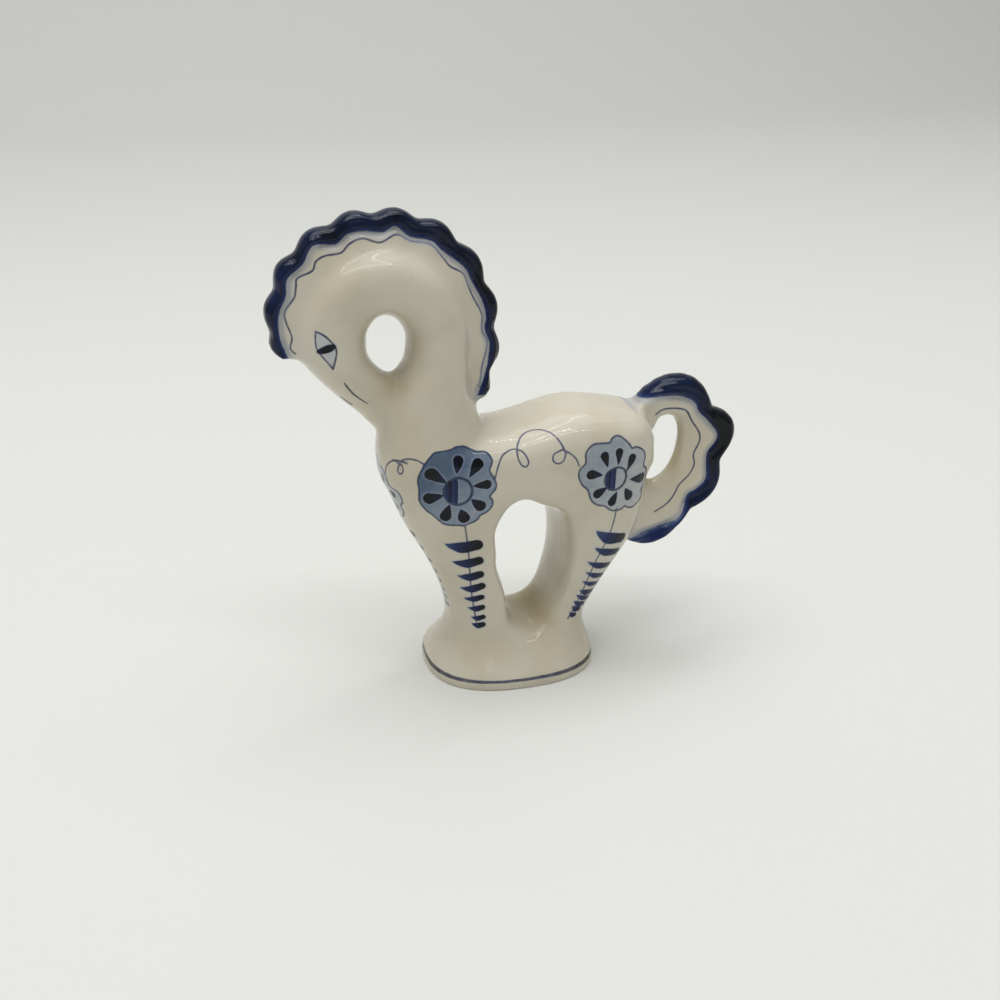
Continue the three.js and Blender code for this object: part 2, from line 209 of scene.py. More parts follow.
def merged_copy(nodes, name):
    bpy.ops.object.select_all(action="DESELECT")
    for node in nodes:
        twin = frame["nodes"][node].copy()
        twin.data = twin.data.copy()
        twin.parent = None
        bpy.context.collection.objects.link(twin)
        twin.select_set(True)
        bpy.context.view_layer.objects.active = twin
    bpy.ops.object.join()
    whole = bpy.context.object
    whole.name = whole.data.name = name
    whole.data.materials.clear()
    edit(whole)
    bpy.ops.mesh.select_all(action="SELECT")
    bpy.ops.mesh.remove_doubles(threshold=0.002 * MM)
    done()
    return whole


def modify(piece, kind, **settings):
    choose(piece)
    modifier = piece.modifiers.new(kind.title(), kind)
    for key, value in settings.items():
        setattr(modifier, key, value)
    bpy.ops.object.modifier_apply(modifier=modifier.name)


SWELL = 0.34  # millimetres, a little more than the slip seams are wide
GRAIN = 0.42  # millimetres between the points of the new skin
skin = merged_copy(sorted(frame["nodes"]), "skin")
modify(skin, "DISPLACE", strength=SWELL * MM, mid_level=0)
modify(skin, "REMESH", mode="VOXEL", voxel_size=GRAIN * MM, use_smooth_shade=True)
modify(skin, "DISPLACE", strength=-SWELL * MM, mid_level=0)
print("skin:", len(skin.data.vertices), "points")


def points_of(piece):
    """The places of a piece's points in millimetres, one row each."""
    flat = np.empty(len(piece.data.vertices) * 3)
    piece.data.vertices.foreach_get("co", flat)
    return flat.reshape(-1, 3) / MM


def move_points(piece, points):
    piece.data.vertices.foreach_set("co", (points * MM).ravel())
    piece.data.update()


# %% [markdown]
# ## Closing the drain
#
# Slip is poured out through a small hole under the foot. Nobody sees the inside, and paint baked on it would
# waste the picture that the export keeps, so the drain is cut across, the inner wall is removed as a loose part,
# and the short hole that stays is closed with one face.

# %% The inner wall goes
low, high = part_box("foot")
foot_x = (low[0] + high[0]) / 2 / MM
DRAIN_REACH = 3.3  # millimetres, a little wider than the hole
DRAIN_CUT = (1.6, 2.4)  # the heights between which it is cut across


def select_faces(piece, test):
    """Selects the faces whose middle passes the test, in edit mode with faces active."""
    edit(piece, "FACE")
    bpy.ops.mesh.select_all(action="DESELECT")
    done()
    middles = np.empty(len(piece.data.polygons) * 3)
    piece.data.polygons.foreach_get("center", middles)
    chosen = test(middles.reshape(-1, 3) / MM)
    piece.data.polygons.foreach_set("select", chosen)
    bpy.ops.object.mode_set(mode="EDIT")
    return int(chosen.sum())


def in_drain(middles):
    reach = np.hypot(middles[:, 0] - foot_x, middles[:, 1])
    return (reach < DRAIN_REACH) & (middles[:, 2] > DRAIN_CUT[0]) & (middles[:, 2] < DRAIN_CUT[1])


cut = select_faces(skin, in_drain)
bpy.ops.mesh.delete(type="FACE")
done()
points = points_of(skin)
outermost = int(points[:, 2].argmax())
edit(skin)
bpy.ops.mesh.select_all(action="DESELECT")
done()
skin.data.vertices[outermost].select = True
edit(skin)
bpy.ops.mesh.select_linked()
bpy.ops.mesh.select_all(action="INVERT")
bpy.ops.mesh.delete(type="VERT")
bpy.ops.mesh.select_all(action="DESELECT")
bpy.ops.mesh.select_non_manifold()
bpy.ops.mesh.fill()
done()
print("faces cut:", cut, "- points left:", len(skin.data.vertices))

# %% [markdown]
# ## Sponging the clay
#
# The flat facets of the CAD forms are wider than the details of the mane, so one amount of smoothing can't suit
# both. A vertex group says how wet each place is sponged: fully on the body, less on the thin scalloped edges of
# mane and tail, and not at all on the ground ring that the horse stands on. Seams, the corners of the holes and the
# fold under the belly get more rounds. A few soft pushes then bring the holes to the outlines of the photo.

# %% Smooth, by vertex group
CREST = (-27.9, 76.3)  # middle of the neck's oval in the side view, and its half sizes
CREST_SIZE = (18.2, 20.1)
TAIL = (32.4, 44)
SEAMS = [(-22, 9, 18, 9), (-27, 40, 31, 39), (-30, 56.5, -4, 59.5), (-36, 66, -27, 62)]  # x, z to x, z
FOLD = (3.5, 11)  # under the leg window, where the two castings run into the foot
FAR = 9.0  # millimetres that stand for "nothing near"
GROUND = 0.45  # millimetres: below this height nothing is sponged
ALL_OVER, AT_CORNERS, IN_FOLD, AT_LAST = 34, 90, 260, 4  # rounds of the sponge
REGAIN = 0.08  # millimetres that the sponge takes off and the glaze puts on again
PUSHES = (  # x, z, how far the push reaches, and the way it goes
    (-5.5, 40, 8, (-2, 0.7)), (-5.5, 19.5, 9, (1.6, 0)), (5, 43, 7, (-0.6, -1.6)), (-5, 34, 6, (-1.2, 0.4)),
    (-1.6, 39.6, 6, (0, 0.9)), (-26.6, 71.4, 5, (0.3, -1)), (30.5, 53, 3, (0.6, -0.7)), (34.4, 42.5, 3, (0, -0.5)),
)
HOLLOWS = [(3, 13.5, 6), (-26.5, 66.5, 5), (31, 41.5, 4), (3.5, 40, 5)]  # corners of the holes: x, z, reach


def ease(value, low, high):
    share = np.clip((value - low) / (high - low), 0, 1)
    return share * share * (3 - 2 * share)


def frill(points):
    """1 on the thin edges of mane and tail, 0 on the casting."""
    x, y, z = points.T
    thin = 1 - ease(np.abs(y), 3.4, 4.4)
    round_crest = np.hypot((x - CREST[0]) / CREST_SIZE[0], (z - CREST[1]) / CREST_SIZE[1])
    mane = ease(round_crest, 1.04, 1.12) * (z > 60.5)
    tail = ease(x, 29.5, 32) * (z > 22)
    return thin * np.maximum(mane, tail)


def off_line(place, start, end):
    """How far places lie from a straight line between two places, in the side view."""
    start, end = np.array(start, float), np.array(end, float)
    along = end - start
    share = np.clip((place - start) @ along / (along @ along), 0, 1)
    return np.linalg.norm(place - start - share[:, None] * along, axis=1)


def sponge(piece, strength, rounds):
    group = piece.vertex_groups.new(name="wet")
    for level in np.unique(strength):
        group.add(np.flatnonzero(strength == level).tolist(), float(level), "REPLACE")
    modify(piece, "SMOOTH", factor=0.5, iterations=rounds, vertex_group="wet")
    piece.vertex_groups.remove(piece.vertex_groups["wet"])


points = points_of(skin)
lifted = (points[:, 2] > GROUND).astype(float)
sponge(skin, np.round((1 - 0.6 * frill(points)) * lifted, 1), ALL_OVER)
places = points[:, [0, 2]]
near_seam = np.min([off_line(places, seam[:2], seam[2:]) for seam in SEAMS], axis=0)
near_hollow = np.min([np.hypot(*(places - (x, z)).T) / reach for x, z, reach in HOLLOWS], axis=0)
crest_edge = np.abs(np.hypot(*((places - CREST) / CREST_SIZE).T) - 1) * 19
wet = np.maximum.reduce([1 - ease(near_seam, 2, 5), 1 - ease(near_hollow, 0.7, 1.2),
                         (1 - ease(crest_edge, 1.5, 3.5)) * (points[:, 2] > 62)])
sponge(skin, np.round(wet * (1 - 0.85 * frill(points)) * lifted, 1), AT_CORNERS)
fold = 1 - ease(np.hypot(places[:, 0] - FOLD[0], places[:, 1] - FOLD[1]), 4, 10)
sponge(skin, np.round(fold * lifted, 1), IN_FOLD)
sponge(skin, lifted, AT_LAST)
modify(skin, "DISPLACE", strength=REGAIN * MM, mid_level=0)


def push(points, x, z, reach, move):
    """Pushes the points near a place of the side view, fully at its middle and less towards its reach."""
    share = ease(reach - np.hypot(points[:, 0] - x, points[:, 2] - z), 0, reach)
    return points + share[:, None] * np.array([move[0], 0, move[1]])


points = points_of(skin)
points[:, 2] = np.maximum(points[:, 2], 0)
for x, z, reach, move in PUSHES:
    points = push(points, x, z, reach, move)
move_points(skin, points)
print("skin now spans", np.round(points.max(axis=0) - points.min(axis=0), 1), "mm")

# %% [markdown]
# ## Where the blue edge begins
#
# The painter covered the rolled edges of mane and tail in cobalt, by hand, so the border wanders. It is kept here
# as a few marks along it, seen from the side, in millimetres. A point's distance to that line, negative on the
# blue side, guides the relief of the edge, the cut between white and blue pieces, and the colour.

# %% Marks along the border
MANE_BORDER = [
    (-45.9, 70.6), (-46.6, 71.5), (-47, 74.2), (-48.4, 78.7), (-48.4, 83.3), (-46.8, 86.9), (-46.3, 90.4),
    (-43.2, 93), (-41, 96.6), (-36.7, 96.6), (-34.3, 98.4), (-30.9, 98.9), (-27.3, 98.5), (-24.7, 99.5),
    (-22, 97.4), (-17.8, 96.4), (-15.6, 94.3), (-11.2, 90.8), (-9.8, 88.1), (-7.5, 83.8), (-6.7, 80.5),
    (-7, 77.6), (-6, 74.5), (-6.7, 69.3), (-8.6, 63.6), (-9.5, 61.5),
]
TAIL_BORDER = [
    (25, 58.6), (30.2, 59.7), (36.7, 59.4), (40.4, 57.8), (41.8, 55.3), (44, 53.1), (46.4, 50.1), (46.2, 48),
    (44.5, 45.8), (44.2, 43.4), (44.4, 39.2), (42.4, 37), (40.2, 35.8), (39.5, 32.7), (37.6, 29.9),
    (33.1, 28.6), (29.8, 27.6), (26, 26.5),
]


def flowing(marks, closed=False, steps=6):
    """A smooth row of places through a few marks."""
    marks = np.array(marks, float)
    count = len(marks)
    rows = []
    for i in range(count if closed else count - 1):
        a, b, c, d = (marks[(i + k) % count if closed else min(max(i + k, 0), count - 1)] for k in (-1, 0, 1, 2))
        for t in np.arange(steps) / steps:
            cubic = 2 * a - 5 * b + 4 * c - d, 3 * b - a - 3 * c + d
            rows.append(0.5 * (2 * b + (c - a) * t + cubic[0] * t**2 + cubic[1] * t**3))
    rows.append(rows[0] if closed else marks[-1])
    return np.array(rows)


def beyond(points, border, middle):
    """How far points lie inside a border round a middle, in the side view: negative outside it."""
    line = flowing(border, steps=4)
    place = points[:, [0, 2]]
    nearest = np.min([off_line(place, start, end) for start, end in zip(line[:-1], line[1:])], axis=0)
    turn = np.unwrap(np.arctan2(line[:, 1] - middle[1], line[:, 0] - middle[0]))
    reach = np.hypot(line[:, 0] - middle[0], line[:, 1] - middle[1])
    order = np.argsort(turn)
    angle = np.arctan2(place[:, 1] - middle[1], place[:, 0] - middle[0])
    latest = turn.max() + 0.3
    angle = (angle - latest) % (2 * np.pi) + latest - 2 * np.pi
    limit = np.interp(angle, turn[order], reach[order])
    inside = np.hypot(place[:, 0] - middle[0], place[:, 1] - middle[1]) < limit
    return np.where(inside, nearest, -nearest)


MANE_END = 63.6  # the height at which the blue ends above the withers


def to_border(points):
    """The distance to the border of the blue, negative on the blue side."""
    x, _, z = points.T
    border = np.full(len(points), FAR)
    mane = (x < 0) & (z > 60.5)
    tail = x > 25
    lower_end = np.where(x[mane] > -20, MANE_END - z[mane], -FAR)
    border[mane] = np.maximum(beyond(points[mane], MANE_BORDER, CREST), lower_end)
    border[tail] = beyond(points[tail], TAIL_BORDER, TAIL)
    return border


border = to_border(points)
print("points on the blue side:", int((border < 0).sum()))

# %% [markdown]
# ## The rolled edge
#
# The edge of mane and tail was rolled and pressed with a finger. Carving it with a brush in sculpt mode needs a
# hand; moving the points along their normals by a few soft waves of the border distance gives the same relief: a
# crease where the roll begins, a low ridge beside it on the white side, and a shallow furrow along the roll.

# %% Relief of mane and tail
def normals_of(piece):
    flat = np.empty(len(piece.data.vertices) * 3)
    piece.data.vertices.foreach_get("normal", flat)
    return flat.reshape(-1, 3)


def wave(height, middle, width):
    """A soft wave of this height and width, its crest at this distance from the border."""
    return height * np.exp(-(((border - middle) / width) ** 2))


normals = normals_of(skin)
sideways = np.abs(normals[:, 1]) ** 1.5
near = border < 6
relief = wave(-0.3, 0, 0.6) + wave(0.16, 1.2, 0.6)  # the crease, and the ridge on the white side
relief += wave(-0.25, -1.9, 0.55) + wave(0.2, -1, 0.45)  # the furrow along the roll, and the swell before it
relief *= sideways
points = points + normals * (relief * near)[:, None]
move_points(skin, points)
print("deepest cut", round(float(relief[near].min()), 2), "mm")

# %% [markdown]
# ## The brush
#
# Cobalt is laid on the raw glaze with a pointed brush: thin lines, and touches that start in a point and end
# round and full. Each stroke is a row of marks with half the width of the brush there, dropped onto the skin. An
# image texture would need a drawing from outside; here every point of the skin learns how far the nearest stroke
# is. A thin line is narrower than the mesh is fine, so the direction to it is kept too, and stays exact between
# points where a bare distance would break up into beads.

# %% Strokes and what they leave on the skin
from mathutils import Vector
from mathutils.bvhtree import BVHTree

tree = BVHTree.FromObject(skin, bpy.context.evaluated_depsgraph_get())


def drop(start, way):
    """Where a point that flies from start along way lands on the skin."""
    place = tree.ray_cast(Vector(start) * MM, Vector(way))[0]
    return None if place is None else np.array(place) / MM


def landed(rows, side):
    """Drops rows of (across, up, half width) onto the near flank or onto the chest."""
    if side == "flank":
        places = [(drop((x, -40, z), (0, 1, 0)), half) for x, z, half in rows]
    else:
        places = [(drop((-60, y, z), (1, 0, 0)), half) for y, z, half in rows]
    return [(place, half) for place, half in places if place is not None]


class Ink:
    """All the strokes of one kind, and what each point of a surface learns from them."""

    def __init__(self):
        self.strokes = []

    def stroke(self, places, load=(0.7, 0.7), side="flank"):
        self.strokes.append((places, load, side))

    def draw(self, marks, half=0.2, load=(0.7, 0.7), closed=False, side="flank", steps=6):
        rows = [(*mark[:2], mark[2] if len(mark) > 2 else half) for mark in marks]
        self.stroke(landed(flowing(rows, closed, steps), side), load, side)

    def soak(self, points):
        """The way to the nearest stroke, half its width there, how far outside it, and its load."""
        offset, half = np.full(points.shape, FAR), np.zeros(len(points))
        far, load = np.full(len(points), FAR), np.zeros(len(points))
        folded = points.copy()
        folded[:, 1] = -np.abs(points[:, 1])
        for places, (first, last), side in self.strokes:
            seen = folded if side == "flank" else points
            row = np.array([place for place, _ in places])
            within = np.flatnonzero(np.all((seen > row.min(axis=0) - 3) & (seen < row.max(axis=0) + 3), axis=1))
            for i in range(len(row) - 1):
                along = row[i + 1] - row[i]
                if along @ along < 1e-9:
                    continue
                low, high = np.minimum(row[i], row[i + 1]) - 3, np.maximum(row[i], row[i + 1]) + 3
                here = within[np.all((seen[within] > low) & (seen[within] < high), axis=1)]
                share = np.clip((seen[here] - row[i]) @ along / (along @ along), 0, 1)
                away = seen[here] - row[i] - share[:, None] * along
                wide = places[i][1] + (places[i + 1][1] - places[i][1]) * share
                outside = np.linalg.norm(away, axis=1) - wide
                better = outside < far[here]
                chosen = here[better]
                offset[chosen], half[chosen], far[chosen] = away[better], wide[better], outside[better]
                load[chosen] = first + (last - first) * (i + share[better]) / (len(row) - 1)
        return offset, half, far, load


line, press = Ink(), Ink()


def petal(tip, end, width, load=(0.85, 1.05), side="flank"):
    """A touch of the full brush: pointed at the tip, round at the end."""
    tip, end = np.array(tip, float), np.array(end, float)
    length = np.linalg.norm(end - tip)
    width *= 1.12
    rest = max(length - width / 2, 0.1) / length
    rows = [(*(tip + (end - tip) * rest * s), max(width / 2 * s**0.75, 0.07)) for s in np.linspace(0, 1, 9)]
    press.stroke(landed(rows, side), load, side)


def leaf(tip, corner, belly, load=(0.42, 1.05), side="flank"):
    """A press of the brush's side: a straight upper edge from tip to corner, and a full belly below it."""
    tip, corner, belly = (np.array(place, float) for place in (tip, corner, belly))
    length = np.linalg.norm(corner - tip)
    along = (corner - tip) / length
    down = np.array([along[1], -along[0]])
    full = 1.2 * ((belly - tip) @ down)
    rows = []
    for s in np.linspace(0, 1, 12):
        wide = full * min(1, (s / 0.5) ** 0.7) * (1 - 0.12 * ease(s, 0.6, 1))
        middle = tip + along * s * (length - 0.4 * abs(full)) + down * wide / 2
        rows.append((*middle, max(abs(wide) / 2, 0.06)))
    press.stroke(landed(rows, side), load, side)


print("a brush for lines and one for presses")

# %% [markdown]
# ## Rosettes
#
# Each side carries two rosettes with eight petals round a button, and a smaller one faces forward on the chest.
# Such flowers are common on blue-and-white ware. A thin outline is filled with a pale wash, which is darker where
# the brush came down first: a wash is kept as its outline and the load on either side of it. The far side is taken
# to be the same as the near one.

# %% Rosettes and their washes
washes = []


def fill(outline, middle, shade, side="flank"):
    """Fills an outline round a middle with a wash."""
    marks = flowing(outline, True, 3)[:-1] - middle
    turn, reach = np.arctan2(marks[:, 1], marks[:, 0]), np.hypot(*marks.T)
    order = np.argsort(turn)
    washes.append((middle, turn[order], reach[order], shade, side))


def rosette(middle, button, petals, outline, shade, side="flank"):
    """petals: (tip, end, width); outline: marks round it; shade: (load, how much it swings, towards degrees)."""
    for tip, end, width in petals:
        petal(tip, end, width, side=side)
    line.draw(outline, 0.2, (0.62, 0.62), True, side, steps=3)
    x, z = middle
    ring = [(x + button * math.cos(a), z + 1.05 * button * math.sin(a)) for a in np.linspace(0, 2 * np.pi, 9)[:8]]
    line.draw(ring, 0.3, (0.8, 0.8), True, side)
    # four upright strokes fill the button's left half
    for shift, half, load in ((-0.78, 0.3, 0.7), (-0.56, 0.34, 0.95), (-0.34, 0.34, 0.62), (-0.14, 0.3, 0.8)):
        reach = button * (math.sqrt(1 - shift * shift) - 0.14)
        across = x + shift * button
        press.draw([(across, z + reach), (across + 0.05, z), (across, z - reach)], half * button / 2.4,
                   (load, load * 0.85), side=side)
    fill(outline, middle, shade, side)


def wash(points):
    """How far each point is outside the nearest wash, and the load of the brush there."""
    far, load = np.full(len(points), FAR), np.zeros(len(points))
    for middle, turns, reaches, (base, swing, way), side in washes:
        across = points[:, 0 if side == "flank" else 1] - middle[0]
        up = points[:, 2] - middle[1]
        turn, reach = np.arctan2(up, across), np.hypot(across, up)
        outside = reach - np.interp(turn, turns, reaches, period=2 * np.pi)
        better = (outside < far) & (outside < 3) & ((side == "flank") | (points[:, 0] < -15))
        far[better] = outside[better]
        load[better] = (base + swing * np.cos(turn - math.radians(way)) * np.minimum(reach / 6, 1))[better]
    return far, load


FRONT, REAR, CHEST = (-15.1, 46.3), (19.5, 45.4), (0, 44.2)
rosette(
    FRONT, 2.9,
    [((-15.4, 50.3), (-14.8, 54.1), 2), ((-12.8, 49.4), (-10.3, 53.1), 2.2), ((-12.1, 47.3), (-8.1, 47.5), 1.9),
     ((-12.4, 44.3), (-9.6, 41.9), 2.2), ((-14.5, 42.1), (-13.5, 38.9), 2.3), ((-16.8, 43.4), (-18, 39.4), 2.2),
     ((-18, 45.5), (-22.2, 44.4), 2.3), ((-17.5, 48.3), (-21.8, 51.4), 2.6)],
    [(-23.1, 50.1), (-22.5, 51.5), (-21.8, 52.9), (-20.1, 55), (-18.8, 55.3), (-16.3, 55.5), (-15.5, 55.8),
     (-13.7, 55.7), (-11.6, 54.6), (-10.7, 54.3), (-9.3, 54.2), (-8.4, 53.6), (-7.9, 52.4), (-8.4, 51.1),
     (-8.5, 50.3), (-7.5, 48.4), (-7.1, 47.2), (-7.4, 46.1), (-8.5, 44.7), (-8, 43.9), (-7.9, 42.8), (-8.4, 41.8),
     (-9.3, 41), (-10.4, 40.5), (-11, 39.6), (-12, 38.9), (-13.9, 38.2), (-14.8, 38.3), (-16.8, 38.4),
     (-18, 38.7), (-19, 39.6), (-20.4, 41), (-21.4, 41.8), (-22.7, 43.6), (-22.9, 45.1), (-22.9, 46.7),
     (-23.2, 48.5)],
    (0.68, 0.28, 125),
)
rosette(
    REAR, 2.57,
    [((19.7, 48.8), (19.8, 52.6), 1.6), ((22.1, 46.6), (23.2, 50.8), 1.7), ((23.2, 44.4), (27.5, 43.6), 2.2),
     ((22, 42.5), (23.7, 39.5), 2), ((20, 42.2), (18.5, 39), 1.9), ((17.5, 43.6), (14.4, 42), 2),
     ((16.3, 46.7), (12.6, 47.4), 2), ((17.3, 48.5), (16.1, 52.2), 1.7)],
    [(10.8, 47.4), (11, 48.7), (12.1, 49.9), (12.2, 50.9), (12.1, 52.1), (12.7, 53.2), (14, 54.1), (15.7, 54.1),
     (16.9, 54), (17.6, 54.1), (18.1, 54.8), (19.2, 55.2), (20.2, 54.9), (21.3, 54), (22.2, 53), (22.8, 52.1),
     (23.8, 52.2), (25, 51.6), (25.9, 50.7), (26.4, 49.3), (26.3, 47.2), (27.6, 45.6), (27.9, 44), (27.9, 42.5),
     (27.4, 41), (26.8, 40.8), (27.1, 39.6), (26.7, 38.4), (25.5, 37.7), (24.3, 37.3), (23, 37.7), (22.2, 38.2),
     (21.5, 37.7), (20.2, 37.6), (18.7, 38), (17.1, 39.3), (15.9, 39.6), (14.6, 40.4), (13.7, 41.6), (13, 43.7),
     (11.8, 44.9), (11.2, 46)],
    (0.22, 0.12, 110),
)


def round_marks(middle, lobes, low, high):
    """Marks of an outline of even lobes round a middle."""
    turns = np.arange(4 * lobes) * np.pi / 2 / lobes
    reaches = low + (high - low) * np.abs(np.cos(turns * lobes / 2)) ** 0.5
    return [(middle[0] + r * math.cos(t), middle[1] + r * math.sin(t)) for t, r in zip(turns, reaches)]


def round_petals(middle, count, inner, outer, width):
    turns = np.arange(count) * 2 * np.pi / count + np.pi / 2
    ways = [np.array([math.cos(t), math.sin(t)]) for t in turns]
    return [(middle + inner * way, middle + outer * way, width) for way in ways]


rosette(CHEST, 2.2, round_petals(np.array(CHEST), 8, 2.8, 5.7, 1.8), round_marks(CHEST, 8, 6.3, 7.1),
        (0.1, 0.08, 90), "chest")
print("pressed touches so far:", len(press.strokes))

# %% [markdown]
# ## Stems with leaves, and tendrils
#
# Under each rosette hangs a stem with leaves that get smaller downwards. A leaf is one press of the brush laid on
# its side, blue at the tip and nearly black where the cobalt gathers. Tendrils with a loop join the flowers.

# %% Stems, leaves, tendrils
THIN = 0.18
line.draw([(-13.6, 38.2), (-12.7, 31.1), (-11.9, 22.2), (-10.7, 13.8)], THIN, (0.5, 0.5))
for tip, corner, belly in (
    ((-17.6, 33.7), (-10, 34.7), (-13.2, 31.9)), ((-15.9, 29.1), (-9.8, 30.5), (-12.3, 28)),
    ((-14.7, 25.4), (-9.6, 26.9), (-11.7, 24.5)), ((-14, 22.2), (-9.2, 23.8), (-11.2, 21.4)),
    ((-13.2, 19.5), (-9.2, 20.6), (-11.1, 18.8)), ((-12.4, 17.1), (-9, 18), (-10.5, 16.4)),
    ((-11.7, 14.8), (-8.9, 15.5), (-10.3, 14.1)), ((-11.6, 13.2), (-8.9, 13.8), (-9.9, 12.4)),
):
    leaf(tip, corner, belly)
line.draw([(20.2, 38.1), (19.5, 34.3), (18.2, 30.4), (16.2, 25.9), (14.9, 22.2), (13.5, 18.2), (11.9, 14.5),
           (10.2, 11.8)], THIN, (0.5, 0.5))
for tip, corner, belly in (
    ((15.6, 33.5), (23.7, 30.9), (20.6, 29.4)), ((15.6, 29.2), (22.6, 27.1), (19.7, 26.3)),
    ((14.1, 25.9), (20.8, 23.7), (17.7, 23.3)), ((13.9, 23.2), (19.6, 21), (17, 20.8)),
    ((13.3, 20.9), (18.3, 19.1), (16.2, 18.8)), ((12.8, 18.7), (17.2, 17.4), (15.5, 16.6)),
    ((12.1, 17.5), (16.4, 15.7), (14.4, 15.4)), ((11.6, 16), (14.9, 14.7), (13.4, 14.1)),
    ((11.2, 14.8), (13.8, 13.6), (12.5, 13)), ((10.7, 13.2), (12.6, 12.5), (11.7, 11.8)),
):
    leaf(tip, corner, belly, (0.36, 0.95))
line.draw([(0, 37.6), (0.1, 30), (0, 22), (0.1, 14)], THIN, (0.5, 0.5), side="chest")
for number, height in enumerate((34.8, 31.2, 27.9, 25, 22.4, 20, 17.8, 15.8)):
    wide = 5.3 - 0.28 * number
    leaf((wide, height + 0.2), (-wide, height + 0.6), (0, height - 1.3 + 0.08 * number), (0.6, 1), "chest")

line.draw([(-7.4, 48.6), (-6.8, 51), (-5.6, 53.2), (-3.2, 54.1), (-1.3, 53.6), (-0.2, 51.6), (-0.7, 50.6),
           (-1.7, 51), (-2.4, 52.6), (-2.2, 54.4), (-0.8, 55.9), (1.5, 56.7), (4, 56.9), (5.8, 56.2), (7.1, 54.4),
           (7.7, 52.6), (7.2, 51), (6.1, 50.6), (5.1, 51.3), (5.2, 52.6), (6.5, 53.3), (7.4, 53.4), (9, 52.4),
           (10.1, 51.2), (10.7, 49.7)], THIN, (0.55, 0.45))
line.draw([(-22.2, 52.9), (-23.2, 53.5), (-24.4, 53.7), (-25.9, 53.3), (-26.7, 52), (-26.9, 50.6), (-26.5, 50.1),
           (-26, 50.7), (-26.1, 51.9), (-27, 52.6), (-27.7, 52.9)], THIN, (0.5, 0.6))
for side in (-1, 1):
    line.draw([(9.8 * side, 52.6), (8.4 * side, 53), (7.2 * side, 52.4), (6.1 * side, 51), (5.4 * side, 49.2)],
              THIN, (0.6, 0.6), side="chest")
print("lines so far:", len(line.strokes))

# %% [markdown]
# ## Face, mane, tail and base
#
# The eye is an almond with a dark bar for the pupil, the mouth one stroke, the nostril another. A thin line
# follows the blue edge of mane and tail. A banding line runs round the foot, laid on while the horse was turned on
# a wheel, so its height is even; it is fuller and darker at the two ends of the oval.

# %% Face, mane and tail lines, base line
line.draw([(-42, 80.9), (-41, 80.5), (-39.9, 79.7), (-38.6, 78.1), (-38.2, 76.8), (-38.5, 75.2), (-39.1, 73.3)],
          0.2, (0.62, 0.8))
line.draw([(-42, 80.9), (-42.1, 79.2), (-42, 77.7), (-41.3, 76.3), (-40.2, 74.9), (-39.1, 73.3)], 0.16, (0.55, 0.7))
press.draw([(-41.7, 76.9, 0.35), (-40.9, 77.1, 0.66), (-39.6, 77.6, 0.76), (-38.8, 77.9, 0.5)], load=(0.95, 1))
almond = [(-42, 80.9), (-39.9, 79.7), (-38.6, 78.1), (-38.2, 76.8), (-39.1, 73.3), (-40.2, 74.9), (-41.3, 76.3),
          (-42, 77.7)]
fill(almond, (-40.3, 77.2), (0.04, 0, 0))
line.draw([(-36.9, 70.1, 0.12), (-36.3, 69.1, 0.24), (-35.1, 67.4, 0.24), (-33.7, 66.1, 0.2), (-32.2, 64.9, 0.12)],
          load=(0.8, 0.6))
line.draw([(-37.4, 66.3, 0.18), (-36.4, 65.3, 0.4), (-35.3, 64.4, 0.46)], load=(0.85, 0.95))
line.draw([(-45.7, 75.5), (-46.6, 76.7), (-46.2, 79), (-47.1, 81.9), (-47.2, 84.1), (-45.3, 86.8), (-44.8, 88.9),
           (-44.4, 90.6), (-41.5, 91.9), (-40.7, 93.6), (-38.9, 94.7), (-35.8, 95.2), (-34, 96.8), (-31.5, 97.7),
           (-28.1, 96.8), (-24.8, 98.1), (-22, 96.7), (-18.1, 95.8), (-16, 93.6), (-14.2, 91.3), (-11.6, 89.7),
           (-10.5, 87.1), (-9.4, 84.5), (-7.7, 81), (-7.6, 77.6), (-6.4, 74.8), (-7.6, 69.9), (-8.1, 65.4)],
          0.2, (0.6, 0.5))
line.draw([(31.6, 55.7), (33.3, 56.7), (36.3, 56.7), (38.7, 55.9), (40.1, 53.5), (42, 50.6), (42.2, 48.4),
           (41, 45.6), (41.3, 43.1), (40.2, 40.7), (37.9, 38.4), (36.8, 36.1), (35.1, 34.1), (32.4, 32.5)],
          0.2, (0.62, 0.5))

BASE_LINE = 2.2  # its height in millimetres
AWAY = 40  # millimetres from which the line is dropped onto the foot
base = []
for degrees in range(0, 361, 6):
    turn = math.radians(degrees)
    start = (foot_x + AWAY * math.cos(turn), AWAY * math.sin(turn), BASE_LINE)
    place = drop(start, (-math.cos(turn), -math.sin(turn), 0))
    fuller = math.cos(turn + math.radians(12)) ** 2
    base.append((place, 0.32 + 0.24 * fuller, 0.6 + 0.38 * fuller))
for start, end in zip(base[:-1], base[1:]):
    line.stroke([start[:2], end[:2]], (start[2], end[2]), "all round")
print("strokes:", len(line.strokes), "lines,", len(press.strokes), "presses")

# %% [markdown]
# ## A finer skin under the paint
#
# The points under the strokes carry their edges, so the faces near paint are cut in four. The plain porcelain
# keeps its wider faces, and the whole stays light enough for a library.

# %% Quarter the painted faces
def painted(places):
    near_line = line.soak(places)[2] < 0.5
    near_press = np.abs(press.soak(places)[2]) < 0.45
    near_wash = np.abs(wash(places)[0]) < 0.4
    return near_line | near_press | near_wash | (np.abs(to_border(places)) < 0.4)


fine = select_faces(skin, painted)
bpy.ops.mesh.subdivide(number_cuts=1, smoothness=1)
bpy.ops.mesh.select_all(action="DESELECT")
done()
choose(skin)
bpy.ops.object.shade_smooth()
print("faces quartered:", fine, "- points now:", len(skin.data.vertices))

